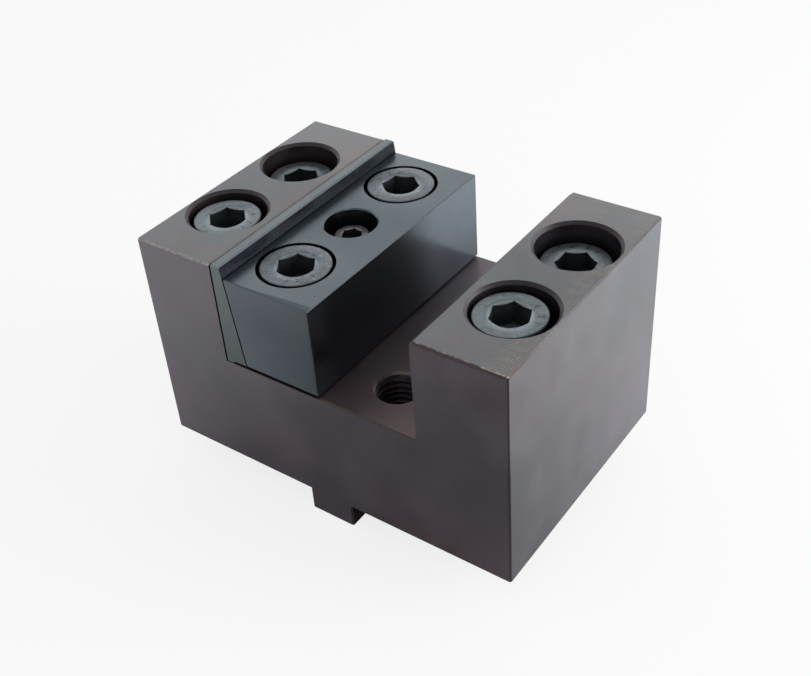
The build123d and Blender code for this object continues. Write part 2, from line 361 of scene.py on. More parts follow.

# the oxide's tone changes over each face, partly its own hue and partly painted light and shade for
# how the light falls there
top_middle_hue_and_light, fence_front_hue_and_light = (0.955, 0.915, 0.94, 1), (1.02, 0.95, 0.96, 1)
floor_front_hue_and_light, floor_back_hue_and_light = (1.13, 1.06, 1.06, 1), (1.06, 1.15, 1.19, 1)
far_top_hue_and_light = (0.84, 0.94, 0.945, 1)
top_hue_and_light = blend(tree, y, 4 * mm, 26 * mm, (0.84, 0.915, 0.905, 1), (0.99, 1.075, 1.04, 1))
side_hue_and_light = blend(tree, y, -15 * mm, 15 * mm, (0.99, 0.93, 0.97, 1), (1.09, 1.03, 1.08, 1))
low_hue_and_light = blend(tree, x, -36 * mm, -16 * mm, (1.12, 1.04, 1.09, 1), (1.14, 0.99, 1.02, 1))
front_hue_and_light = blend(tree, z, 26 * mm, 10 * mm, (0.99, 0.95, 0.99, 1), low_hue_and_light)
top_middle = times(tree, tower_top, near(tree, y, 0.0, 3 * mm, 11 * mm))
floor_front = times(tree, slot_floor, between(tree, y, -16 * mm, -26 * mm))
floor_back = times(tree, slot_floor, between(tree, y, -12 * mm, 24 * mm))
far_top = times(tree, rightward, between(tree, y, -10 * mm, 25 * mm),
                between(tree, z, 15 * mm, 45 * mm))
low_side = times(tree, rightward, between(tree, z, 30 * mm, 12 * mm))
fence_front = times(tree, frontward, between(tree, x, -5 * mm, 20 * mm))
colour = coated(tree, colour, (
    (upward, top_hue_and_light), (top_middle, top_middle_hue_and_light),
    (floor_front, floor_front_hue_and_light), (floor_back, floor_back_hue_and_light),
    (far_top, far_top_hue_and_light), (low_side, side_hue_and_light),
    (frontward, front_hue_and_light), (fence_front, fence_front_hue_and_light)), "MULTIPLY")

# painted shade: the tongue's sides, below the block's base, are painted dark brown
tongue_shade_brown = (0.05, 0.032, 0.036, 1)
shaded_tongue_side = times(tree, between(tree, z, 0.0, -0.3 * mm),
                    between(tree, reckon(tree, "ABSOLUTE", nx), 0.6, 0.8))
colour = mixed(tree, shaded_tongue_side, colour, tongue_shade_brown)

# the cutter's arcs, faint all over the tops and rubbed to a tan near the fence's outer edge
arc_dark = (0.05, 0.045, 0.042, 1)
worn_tan = (0.41, 0.375, 0.32, 1)
rings = add_node(tree, "ShaderNodeTexWave", wave_type="RINGS", rings_direction="Z",
                 wave_profile="SIN")
feed(tree, rings.inputs["Vector"], shifted(tree, place, tuple(-c for c in cutter_centre)))
rings.inputs["Scale"].default_value = pi / 10 / cutter_pitch
rings.inputs["Distortion"].default_value = 0.0
arcs = rings.outputs["Fac"]
worn_strip = times(tree, between(tree, x, 41.0 * mm, 44.5 * mm),
                   between(tree, y, 18 * mm, 8 * mm),
                   between(tree, x, outer_x - 0.4 * mm, outer_x - 1.5 * mm, 0.45, 1.0))
faded = between(tree, mottle(tree, place, 70.0, 2.0), 0.35, 0.65)
broken_up = between(tree, mottle(tree, place, 750.0, 2.0, 0.5), 0.40, 0.60, 0.2, 1.0)
strong = times(tree, worn_strip, broken_up, between(tree, faded, 0, 1, 0.35, 1.0))
rubbed = times(tree, tower_top, reckon(tree, "MAXIMUM", strong, times(tree, faded, 0.10)))
crest = between(tree, arcs, 0.45, 0.95)
colour = coated(tree, colour, (
    (times(tree, rubbed, between(tree, arcs, 0.5, 0.1, 0.0, 0.6)), arc_dark),
    (times(tree, rubbed, between(tree, crest, 0, 1, 0.0, 0.85)), worn_tan)))

# faint tan streaks at the back of the fence tower, from another pass of the cutter
streak_tan = (0.30, 0.28, 0.235, 1)
aslant = shifted(tree, place, (0, 0, 0), (70, 1500, 1), (0, 0, radians(-30.3)))
streaks = between(tree, mottle(tree, aslant, 1.0, 3.0, 0.6), 0.45, 0.65, 0.0, 0.32)
at_back = between(tree, y, 19 * mm, 24 * mm)
colour = mixed(tree, times(tree, tower_top, on_fence, at_back, streaks), colour, streak_tan)

# the tower tops' edges: dark chamfers, painted shadow under the fence tower's front rim, a light
# line along the front rims that is partly rubbed bare and partly painted highlight, and a painted
# highlight at the near corner
rim_shadow = (0.085, 0.068, 0.064, 1)
rim_grey = (0.066, 0.060, 0.062, 1)
clamp_rim, fence_rim = (0.16, 0.15, 0.15, 1), (0.046, 0.037, 0.034, 1)
# the light line at the top of the front rims: partly rubbed bare steel, partly painted highlight
bare_steel_and_highlight = (0.42, 0.40, 0.385, 1)
bare_brown_and_highlight, bare_copper_and_highlight = (0.26, 0.22, 0.20, 1), (0.62, 0.53, 0.475, 1)
side_rim_grey, side_rim_brown = (0.085, 0.083, 0.086, 1), (0.062, 0.046, 0.045, 1)
corner_highlight = (0.62, 0.54, 0.52, 1)
rim_line = times(tree, slanted, at_top)
# painted shadow on the front face just under the fence tower's rim
under_rim = times(tree, frontward, on_fence,
                  between(tree, z, tower_z - 1.1 * mm, tower_z - 0.4 * mm, 0.0, 0.55))
specks = between(tree, mottle(tree, place, 1100.0, 3.0, 0.6), 0.40, 0.62, 0.2, 0.75)
spots = between(tree, mottle(tree, place, 420.0, 4.0, 0.65), 0.42, 0.58)
wear_and_highlight = mixed(tree, on_fence, specks, between(tree, spots, 0, 1, 0.15, 0.9))
upper_part = reckon(tree, "MAXIMUM", between(tree, z, tower_z - 0.20 * mm, tower_z - 0.10 * mm),
                    between(tree, on_fence, 0, 1, 0.9, 0.0))
to_right = between(tree, x, outer_x - 12 * mm, outer_x - 1 * mm, 0.25, 0.8)
to_front = between(tree, y, front_y + 16 * mm, front_y + 4 * mm, 0.0, 0.9)
# a painted highlight spot at the near top corner of the fence tower
to_corner = times(tree, between(tree, x, outer_x - 0.8 * mm, outer_x - 0.4 * mm),
                  between(tree, y, front_y + 0.55 * mm, front_y + 0.25 * mm),
                  between(tree, z, tower_z - 0.3 * mm, tower_z - 0.12 * mm))
front_rim = mixed(tree, on_fence, clamp_rim, fence_rim)
bare_fence_and_highlight = mixed(tree, to_right, bare_brown_and_highlight, bare_copper_and_highlight)
colour = coated(tree, colour, (
    (under_rim, rim_shadow),
    (times(tree, rim_line, 0.9), mixed(tree, at_front, rim_grey, front_rim)),
    (times(tree, rim_line, at_front, upper_part, wear_and_highlight),
     mixed(tree, on_fence, bare_steel_and_highlight, bare_fence_and_highlight)),
    (times(tree, rim_line, at_side), mixed(tree, to_front, side_rim_grey, side_rim_brown)),
    (to_corner, corner_highlight)))

# the slot's front edge is dark, painted shadow blackens the gap under the wedge and the groove
# beside the gib, and the tapped hole's mouth is brown
mouth_brown = (0.118, 0.092, 0.096, 1)
slot_edge_brown, gap_edge_grey = (0.062, 0.048, 0.046, 1), (0.075, 0.064, 0.067, 1)
gap_shadow_black = (0.004, 0.003, 0.004, 1)
slot_edge = times(tree, slanted, near(tree, x, 0.0, fence_x + 0.7 * mm, fence_x + 1.1 * mm),
                  between(tree, z, slot_z + 1.5 * mm, slot_z + 0.6 * mm))
tap_mouth = times(tree, slot_edge, between(tree, z, slot_z - 2.5 * mm, slot_z - 1.6 * mm),
                  between(tree, y, front_y + 2 * mm, front_y + 3 * mm))
low_edge = times(tree, slot_edge, at_front,
                 between(tree, z, slot_z - 1.5 * mm, slot_z - 0.6 * mm))
under_wedge = between(tree, x, 1.5 * mm, -0.5 * mm)
in_gap = between(tree, z, slot_z - 0.36 * mm, slot_z - 0.24 * mm)
groove = times(tree, at_front, between(tree, z, slot_z - 0.4 * mm, slot_z - 0.1 * mm),
               near(tree, x, seam_x, 0.36 * mm, 0.48 * mm))
gap_edge = mixed(tree, in_gap, gap_edge_grey, gap_shadow_black)
colour = coated(tree, colour, (
    (tap_mouth, mouth_brown),
    (low_edge, mixed(tree, under_wedge, slot_edge_brown, gap_edge)),
    (groove, gap_shadow_black)))
# no sheen in the painted shadow of the groove and of the gap under the wedge
no_sheen = reckon(tree, "MAXIMUM", groove, times(tree, low_edge, under_wedge, in_gap))
feed(tree, shader.inputs["Specular IOR Level"], between(tree, no_sheen, 0, 1, 0.5, 0.0))

# painted shade darkens the counterbores and holes inside, and their rims are darker than the top,
# with painted shade on each rim's far half
far_rim_shade = (0.040, 0.035, 0.039, 1)
clamp_hole_rim, fence_hole_rim = (0.066, 0.058, 0.060, 1), (0.105, 0.098, 0.101, 1)
clamp_counterbore_shade, fence_counterbore_shade = (0.036, 0.021, 0.024, 1), (0.030, 0.024, 0.030, 1)
away_x = reckon(tree, "SUBTRACT", reckon(tree, "ABSOLUTE", x), hole_x)
away_y = reckon(tree, "SUBTRACT", reckon(tree, "ABSOLUTE", y), hole_y)
from_hole = distance(tree, away_x, away_y)
in_rim = between(tree, from_hole, rim_radius + 0.2 * mm, rim_radius + 0.05 * mm)
rim_band = times(tree, rim_line, in_rim, between(tree, x, -5 * mm, 5 * mm, 0.8, 1.0))
far_side = reckon(
    tree, "MAXIMUM",
    times(tree, between(tree, away_y, -4 * mm, 7 * mm), between(tree, y, -1 * mm, 1 * mm)),
    times(tree, between(tree, away_y, 4 * mm, -7 * mm), between(tree, y, 1 * mm, -1 * mm)))
near_rim = blend(tree, x, -5 * mm, 5 * mm, clamp_hole_rim, fence_hole_rim)
in_bore = between(tree, from_hole, bore_radius + 0.3 * mm, bore_radius + 0.2 * mm)
in_hole = times(tree, in_bore, between(tree, z, tower_z - 0.55 * mm, tower_z - 0.8 * mm),
                between(tree, z, 0.6 * mm, 1.6 * mm),
                between(tree, z, tower_z - 1 * mm, tower_z - 9 * mm, 0.92, 1.0))
colour = coated(tree, colour, (
    (rim_band, mixed(tree, far_side, near_rim, far_rim_shade)),
    (in_hole, blend(tree, x, -5 * mm, 5 * mm, clamp_counterbore_shade, fence_counterbore_shade))))

# painted shade darkens the fence's gripping wall inside the slot, and the upright edge at the near
# corner is dark plum with a light line along it, partly rubbed bare and partly painted highlight
fence_wall_shade = (0.032, 0.027, 0.029, 1)
corner_plum, corner_steel_and_highlight = (0.105, 0.078, 0.108, 1), (0.62, 0.60, 0.63, 1)
fence_wall = times(tree, between(tree, nx, -0.8, -0.95),
                   near(tree, x, fence_x, 0.2 * mm, 0.4 * mm))
corner = times(tree, slanted, near(tree, nz, 0.0, 0.3, 0.5), at_front, at_side)
# a thin light line along the upright edge's outer side, partly painted highlight, brighter higher
# up
bright_edge = times(tree, between(tree, x, outer_x - 0.16 * mm, outer_x - 0.06 * mm),
                    between(tree, z, 20 * mm, 50 * mm, 0.15, 1.0))
colour = coated(tree, colour, (
    (times(tree, fence_wall, 0.85), fence_wall_shade),
    (corner, mixed(tree, bright_edge, corner_plum, corner_steel_and_highlight))))

# a fine grain and broad clouds over the whole block
fine = mottle(tree, place, 1500.0, 3.0, 0.6)
broad = mottle(tree, shifted(tree, place, (0.2, 0.0, 0.6)), 85.0, 4.0, 0.55)
colour = coated(tree, colour, (
    (1.0, lightness(tree, fine, 0.96, 1.04)),
    (1.0, lightness(tree, broad, 0.94, 1.06))), "MULTIPLY")
feed(tree, shader.inputs["Base Color"], colour)
dullness = reckon(tree, "ADD", lightness(tree, broad, 0.37, 0.45), times(tree, rubbed, -0.08))
dullness = reckon(tree, "ADD", dullness, lightness(tree, fine, -0.02, 0.02))
feed(tree, shader.inputs["Roughness"], dullness)
grain = emboss(tree, shader, fine, 0.006 * mm, 0.6)
emboss(tree, shader, times(tree, arcs, tower_top), 0.008 * mm, 0.5, grain)
dress(nodes["tool_block"], block_oxide)

# Taper gib
# A hardened steel plate, ground all over and blued, and a little greener than the wedge. The
# grinding wheel's strokes cross its sloping face aslant.
gib_blue, gib_green = (0.163, 0.193, 0.210, 1), (0.184, 0.217, 0.228, 1)
slope_shade = (0.018, 0.0215, 0.0265, 1)
stroke_grey, gib_rust = (0.10, 0.105, 0.11, 1), (0.05, 0.026, 0.022, 1)
ground_green, tree, shader, place, _, (nx, _, _) = new_finish("ground_green", 0.95, 0.32)
fine = mottle(tree, place, 1800.0, 3.0, 0.6)
strokes = mottle(tree, shifted(tree, place, (0, 0, 0), (1, 2600, 160), (radians(62), 0, 0)),
                 1.0, 3.0, 0.65)
rusty = between(tree, mottle(tree, shifted(tree, place, (0.4, 0.1, 0)), 240.0, 3.0), 0.54, 0.66)
sloping = between(tree, nx, 0.90, 0.97)
colour = blend(tree, mottle(tree, place, 60.0, 2.0), 0.35, 0.65, gib_blue, gib_green)
# painted shade: the sloping face, in the narrow gap against the wedge, is painted near black
colour = coated(tree, colour, (
    (sloping, slope_shade),
    (times(tree, sloping, between(tree, strokes, 0.52, 0.66), 0.10), stroke_grey),
    (times(tree, sloping, rusty, 0.15), gib_rust)))
colour = mixed(tree, 1.0, colour, lightness(tree, fine, 0.92, 1.07), "MULTIPLY")
feed(tree, shader.inputs["Base Color"], colour)
feed(tree, shader.inputs["Roughness"], lightness(tree, strokes, 0.28, 0.38))
raised = reckon(tree, "ADD", times(tree, strokes, sloping), times(tree, fine, 0.3))
emboss(tree, shader, raised, 0.01 * mm, 0.5)
dress(nodes["taper_gib"], ground_green)

# Clamp wedge
# Hardened steel, ground flat on every side and blued to an even dark blue-grey. Its corners are
# broken with a small chamfer, where the blueing is thin. Its top's front edge is worn aslant.
wedge_low, wedge_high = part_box("clamp_wedge")
wedge_holes_x = -12.598 * mm
clamp_hole_y, clamp_hole_radius, jack_hole_radius = 19.6 * mm, 8.8 * mm, 6.1 * mm
wedge_blue, wedge_light = (0.166, 0.198, 0.227, 1), (0.184, 0.216, 0.242, 1)
clamp_bore_shade, jack_bore_shade = (0.022, 0.025, 0.030, 1), (0.060, 0.068, 0.078, 1)
ground_blue, tree, shader, place, (x, y, z), (nx, ny, nz) = new_finish("ground_blue", 0.95, 0.28)
fine = mottle(tree, place, 1700.0, 3.0, 0.6)
lines = mottle(tree, shifted(tree, place, (0, 0, 0), (1800, 60, 60)), 1.0, 2.0, 0.6)
level_face = between(tree, nz, 0.9, 0.98)
gripping = between(tree, nx, 0.9, 0.98)
front_face = between(tree, ny, -0.9, -0.98)
colour = blend(tree, mottle(tree, place, 34.0, 2.0), 0.35, 0.65, wedge_blue, wedge_light)
colour = coated(tree, colour, (
    (1.0, lightness(tree, fine, 0.94, 1.05)),
    (times(tree, level_face, 0.25), lightness(tree, lines, 0.9, 1.1))), "MULTIPLY")

# painted shade darkens the bores below the top
in_bore = 0.0
away_x = reckon(tree, "SUBTRACT", x, wedge_holes_x)
for centre_y, radius in ((-clamp_hole_y, clamp_hole_radius), (0.0, jack_hole_radius),
                         (clamp_hole_y, clamp_hole_radius)):
    from_hole = distance(tree, away_x, reckon(tree, "SUBTRACT", y, centre_y))
    inside = between(tree, from_hole, radius + 0.12 * mm, radius + 0.05 * mm)
    in_bore = reckon(tree, "MAXIMUM", in_bore, inside)
in_bore = times(tree, in_bore, between(tree, z, wedge_high.z - 0.1 * mm, wedge_high.z - 0.4 * mm))
bore_shade = mixed(tree, near(tree, y, 0.0, 7 * mm, 8 * mm), clamp_bore_shade, jack_bore_shade)
colour = mixed(tree, in_bore, colour, bore_shade)

# the blueing's tone changes over each face, partly painted light and shade, and the gripping face
# carries a painted reflection, dark in the middle and lighter at both ends; the front is dark at
# its right side
right_end_dark = (0.07, 0.082, 0.094, 1)
middle_tone = (0.82, 0.82, 0.82, 1)
front_tone = between(tree, z, 46 * mm, 30 * mm, 0.86, 1.22)
grip_reflection_tone = reckon(tree, "MAXIMUM", between(tree, y, 0 * mm, 17 * mm, 0.50, 1.15),
                   between(tree, y, -23 * mm, -31 * mm, 0.50, 0.90))
level_tone = blend(tree, y, 8 * mm, 26 * mm, (0.955, 0.965, 0.96, 1), (0.90, 0.905, 0.875, 1))
level_middle = times(tree, level_face, near(tree, y, 0.0, 5 * mm, 17 * mm))
right_end = times(tree, front_face, between(
    tree, x, wedge_high.x - 1.2 * mm, wedge_high.x - 0.2 * mm, 0.0, 0.35))
colour = mixed(tree, front_face, colour, front_tone, "MULTIPLY")
colour = mixed(tree, right_end, colour, right_end_dark)
colour = coated(tree, colour, (
    (gripping, grip_reflection_tone), (level_middle, middle_tone), (level_face, level_tone)), "MULTIPLY")

# a worn band along the top's front edge, darker chamfers, and painted shade on the chamfer at the
# slit between the wedge and the gib
worn_blue, edge_blue = (0.080, 0.098, 0.110, 1), (0.09, 0.108, 0.12, 1)
slit_shade, grip_edge_dark = (0.006, 0.006, 0.007, 1), (0.05, 0.056, 0.065, 1)
wear_width = between(tree, x, -19 * mm, 0.4 * mm, 0.2 * mm, 1.5 * mm)
past_wear = reckon(tree, "SUBTRACT", reckon(tree, "SUBTRACT", y, wedge_low.y), wear_width)
worn_off = times(tree, level_face, between(tree, past_wear, 0.35 * mm, -0.25 * mm, 0.0, 0.85))
front_edge = times(tree, between(tree, ny, -0.5, -0.6), between(tree, nz, 0.5, 0.6))
slit = times(tree, between(tree, nx, -0.4, -0.6), between(tree, ny, -0.4, -0.6))
grip_edge = times(tree, between(tree, nx, 0.5, 0.6), between(tree, nx, 0.9, 0.8),
                  between(tree, ny, -0.4, -0.6, 0.45, 0.9))
colour = coated(tree, colour, (
    (worn_off, worn_blue), (front_edge, edge_blue),
    (slit, slit_shade), (grip_edge, grip_edge_dark)))
feed(tree, shader.inputs["Base Color"], colour)
dullness = lightness(tree, mottle(tree, place, 120.0, 3.0), 0.26, 0.31)
dullness = reckon(tree, "SUBTRACT", dullness, times(tree, gripping, 0.05))
feed(tree, shader.inputs["Roughness"], dullness)
emboss(tree, shader, reckon(tree, "ADD", lines, times(tree, fine, 0.5)), 0.003 * mm, 0.15)
dress(nodes["clamp_wedge"], ground_blue)

# Cap screws
# Forged socket head cap screws with a rolled thread and a straight knurl round the head, oxide
# black and oiled. The strength number is stamped round the socket. Sizes are in millimetres, up
# from the head's top, and a socket's flat is given by its distance from the axis.
head_height = 10.0
head_core = 7.76
head_radius = 7.97
knurl_ridges = 64
thread_crest, thread_root, thread_pitch = 5.0, 4.08, 1.5
longest_thread = 32.0
screw_length = {"mount": 50.0, "clamp": 30.0}
edge_radius = {"mount": 0.6, "clamp": 0.25}
socket_flat, socket_mouth, socket_depth = 4.0, 4.62, 5.4
mouth_slope = 0.6
points_round = 192
sharp_angle = radians(32)
figures = (("1", -28), ("2", -7), (".", 10), ("9", 27))
figure_radius, figure_height, figure_rise = 6.15, 1.35, 0.012

# each screw's node, with how far its socket and its figures are turned
cap_screws = (
    ("mount_screw_front_left", 14, 14), ("mount_screw_front_right", 50, 29),
    ("mount_screw_rear_left", 15, 75), ("mount_screw_rear_right", 28, 100),
    ("clamp_screw_front", 3, -41), ("clamp_screw_rear", 22, 157))


def new_tree(name, sizes):
    """A node tree that makes a mesh from named sizes and ends in a plain mesh with its material."""
    tree = bpy.data.node_groups.new(name, "GeometryNodeTree")
    for label, kind in sizes:
        tree.interface.new_socket(name=label, in_out="INPUT", socket_type=kind)
    tree.interface.new_socket(name="Geometry", in_out="OUTPUT", socket_type="NodeSocketGeometry")
    given = add_node(tree, "NodeGroupInput").outputs
    real = add_node(tree, "GeometryNodeRealizeInstances")
    finish = add_node(tree, "GeometryNodeSetMaterial")
    end = add_node(tree, "NodeGroupOutput")
    feed(tree, finish.inputs["Geometry"], real.outputs[0])
    feed(tree, finish.inputs["Material"], given["Material"])
    feed(tree, end.inputs[0], finish.outputs[0])
    return tree, given, real.inputs[0]


def grown(tree, material, **sizes):
    """The mesh that a tree makes from these sizes."""
    holder = bpy.data.objects.new("holder", bpy.data.meshes.new("holder"))
    scene.collection.objects.link(holder)
    modifier = holder.modifiers.new("make", "NODES")
    modifier.node_group = tree
    for item in tree.interface.items_tree:
        if item.in_out == "INPUT":
            value = material if item.name == "Material" else sizes[item.name.lower()]
            modifier[item.identifier] = value
    evaluated = holder.evaluated_get(bpy.context.evaluated_depsgraph_get())
    made = bpy.data.meshes.new_from_object(evaluated)
    bpy.data.objects.remove(holder)
    return made


def lifted(tree, shape, height):
    """A shape moved up by a height."""
    move = add_node(tree, "GeometryNodeTransform")
    rise = add_node(tree, "ShaderNodeCombineXYZ")
    feed(tree, rise.inputs[2], height)
    feed(tree, move.inputs["Geometry"], shape)
    feed(tree, move.inputs["Translation"], rise.outputs[0])
    return move.outputs[0]


# a thread's ridge runs round its root on a helix, and thins out at both ends
number, whole = "NodeSocketFloat", "NodeSocketInt"
thread_tree, given, end = new_tree("thread", (
    ("Root", number), ("Depth", number), ("Pitch", number), ("Length", number), ("Start", number),
    ("Material", "NodeSocketMaterial")))
turns = reckon(thread_tree, "DIVIDE", given["Length"], given["Pitch"])
helix = add_node(thread_tree, "GeometryNodeCurveSpiral")
helix.inputs["Resolution"].default_value = 48
helix.inputs["Reverse"].default_value = True
for name, value in (("Rotations", turns), ("Start Radius", given["Root"]),
                    ("End Radius", given["Root"]), ("Height", given["Length"])):
    feed(thread_tree, helix.inputs[name], value)
level = add_node(thread_tree, "GeometryNodeSetCurveNormal", mode="Z_UP")
feed(thread_tree, level.inputs["Curve"], lifted(thread_tree, helix.outputs[0], given["Start"]))
ridge = add_node(thread_tree, "GeometryNodeCurvePrimitiveQuadrilateral", mode="POINTS")
for corner, (out, up) in enumerate(((-0.06, -0.47), (1.0, -0.07), (1.0, 0.07), (-0.06, 0.47)), 1):
    spot = add_node(thread_tree, "ShaderNodeCombineXYZ")
    feed(thread_tree, spot.inputs[0], times(thread_tree, given["Depth"], out))
    feed(thread_tree, spot.inputs[1], times(thread_tree, given["Pitch"], up))
    feed(thread_tree, ridge.inputs[f"Point {corner}"], spot.outputs[0])
along = add_node(thread_tree, "GeometryNodeSplineParameter").outputs["Factor"]
turns_from_end = reckon(
    thread_tree, "MINIMUM", times(thread_tree, along, turns),
    times(thread_tree, reckon(thread_tree, "SUBTRACT", 1.0, along), turns))
run_out = reckon(thread_tree, "MULTIPLY", turns_from_end, 1.5, clamp=True)
sweep = add_node(thread_tree, "GeometryNodeCurveToMesh")
sweep.inputs["Fill Caps"].default_value = True
feed(thread_tree, sweep.inputs["Curve"], level.outputs[0])
feed(thread_tree, sweep.inputs["Profile Curve"], ridge.outputs[0])
feed(thread_tree, sweep.inputs["Scale"], reckon(thread_tree, "MAXIMUM", run_out, 0.02))
feed(thread_tree, end, sweep.outputs[0])

# a knurl is a ring of upright prisms, each with one edge outwards
knurl_tree, given, end = new_tree("knurl", (
    ("Radius", number), ("Ridges", whole), ("Width", number), ("Height", number),
    ("Middle", number), ("Material", "NodeSocketMaterial")))
circle = add_node(knurl_tree, "GeometryNodeMeshCircle")
feed(knurl_tree, circle.inputs["Vertices"], given["Ridges"])
feed(knurl_tree, circle.inputs["Radius"], given["Radius"])
outward = add_node(knurl_tree, "GeometryNodeInputPosition")
flat = add_node(knurl_tree, "ShaderNodeVectorMath", operation="MULTIPLY")
feed(knurl_tree, flat.inputs[0], outward.outputs[0])
flat.inputs[1].default_value = (1, 1, 0)
turned = add_node(knurl_tree, "FunctionNodeAlignRotationToVector", axis="X", pivot_axis="Z")
feed(knurl_tree, turned.inputs["Vector"], flat.outputs[0])
prism = add_node(knurl_tree, "GeometryNodeMeshCylinder", fill_type="NGON")
prism.inputs["Vertices"].default_value = 3
feed(knurl_tree, prism.inputs["Radius"], given["Width"])
feed(knurl_tree, prism.inputs["Depth"], given["Height"])
spread = add_node(knurl_tree, "GeometryNodeInstanceOnPoints")
feed(knurl_tree, spread.inputs["Points"], lifted(knurl_tree, circle.outputs[0], given["Middle"]))
feed(knurl_tree, spread.inputs["Instance"], prism.outputs[0])
feed(knurl_tree, spread.inputs["Rotation"], turned.outputs[0])
feed(knurl_tree, end, spread.outputs[0])


def turned_form(profile, flat, depth, mouth, turn):
    """A screw's body about the z axis, from its tip up to the rim of its socket and down the
    socket, whose hexagon is turned by so many degrees."""
    form = bmesh.new()
    angles = [radians(turn) + point * 2 * pi / points_round for point in range(points_round)]
    chamfer_depth = (mouth - flat) * mouth_slope

    def wall(angle):
        return flat / cos((angle - radians(turn)) % (pi / 3) - pi / 6)

    def ring(reach, height):
        points = []
        for angle in angles:
            out = reach(angle) if callable(reach) else reach
            up = height(out) if callable(height) else height
            points.append(form.verts.new((out * cos(angle), out * sin(angle), up)))
        return points

    rings = [ring(out, up) for out, up in profile]
    rings.append(ring(mouth, 0.0))
    rings.append(ring(lambda angle: min(wall(angle), mouth - 0.01),
                      lambda out: -(mouth - out) * mouth_slope))
    for share in (0.3, 0.65, 1.0):
        rings.append(ring(wall, -chamfer_depth - share * (depth - chamfer_depth)))
    rings.append(ring(flat * 0.9, -depth - 0.05))
    rings.append(ring(flat * 0.45, -depth - flat * 0.25))
    for lower, upper in zip(rings, rings[1:]):
        for point in range(points_round):
            after = (point + 1) % points_round
            form.faces.new((lower[point], lower[after], upper[after], upper[point]))
    for end_ring, height in ((rings[0], profile[0][1]), (rings[-1], -depth - flat * 0.42)):
        middle = form.verts.new((0, 0, height))
        for point in range(points_round):
            form.faces.new((middle, end_ring[point], end_ring[(point + 1) % points_round]))
    bmesh.ops.recalc_face_normals(form, faces=form.faces)
    return form


def cap_screw_profile(length, threaded, rounding):
    """Radius and height up the outside of a cap screw: the pointed end, the thread's core, the
    shank, the fillet under the head, the head's core, and its rounded top edge."""
    tip, seat = -head_height - length, -head_height
    thread_top = tip + threaded
    profile = [(3.3, tip), (3.55, tip), (thread_root, tip + 0.55), (thread_root, thread_top - 1.4)]
    if threaded < length:
        profile += [(thread_crest - 0.1, thread_top - 0.3), (thread_crest, thread_top),
                    (thread_crest, seat - 0.6)]
    else:
        profile.append((4.75, seat - 0.9))
    profile += [(5.02, seat - 0.45), (5.15, seat - 0.15), (5.5, seat), (7.45, seat),
                (head_core, seat + 0.3), (head_core, -1.15), (7.93, -0.98), (head_radius, -0.8)]
    for angle in range(0, 105, 15):
        across, up = 1 - cos(radians(angle)), 1 - sin(radians(angle))
        profile.append((head_radius - rounding * across, -rounding * up))
    profile.append((5.9, 0.0))
    return profile


def stamped(angle):
    """The figures stamped round a head, centred on an angle. Their tops point to the socket."""
    form = bmesh.new()
    for text, away in figures:
        font = bpy.data.curves.new("figure", "FONT")
        font.body = text
        font.size = figure_height * 1.4
        font.align_x = "CENTER"
        font.align_y = "CENTER"
        font.resolution_u = 6
        holder = bpy.data.objects.new("figure", font)
        flat = bpy.data.meshes.new_from_object(holder)
        turn = Matrix.Rotation(radians(angle + away), 4, "Z")
        lean = Matrix.Rotation(radians(90), 4, "Z")
        flat.transform(turn @ Matrix.Translation((figure_radius, 0, figure_rise)) @ lean)
        form.from_mesh(flat)
        bpy.data.objects.remove(holder)
    for face in form.faces:
        if face.normal.z < 0:
            face.normal_flip()
        face.material_index = 1
    return form


def place_screw(name, body, forms, meshes, place, materials):
    """Joins a screw's forms and meshes, marks how far each point is from the axis and below the
    top, and puts the screw in the place of its CAD node."""
    whole_screw = bmesh.new()
    for form in forms:
        part = bpy.data.meshes.new("part")
        form.to_mesh(part)
        form.free()
        whole_screw.from_mesh(part)
    for made in meshes:
        whole_screw.from_mesh(made)
    mesh = bpy.data.meshes.new(name)
    whole_screw.to_mesh(mesh)
    whole_screw.free()
    reach = mesh.attributes.new("from_axis", "FLOAT", "POINT")
    depth = mesh.attributes.new("below_top", "FLOAT", "POINT")
    reach.data.foreach_set("value", [v.co.xy.length for v in mesh.vertices])
    depth.data.foreach_set("value", [-v.co.z for v in mesh.vertices])
    for material in materials:
        mesh.materials.append(material)
    mesh.shade_smooth()
    mesh.set_sharp_from_angle(angle=sharp_angle)
    mesh.transform(place @ Matrix.Scale(mm, 4))
    piece = bpy.data.objects.new(name + "_made", mesh)
    scene.collection.objects.link(piece)
    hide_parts(name)
    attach(piece, body)


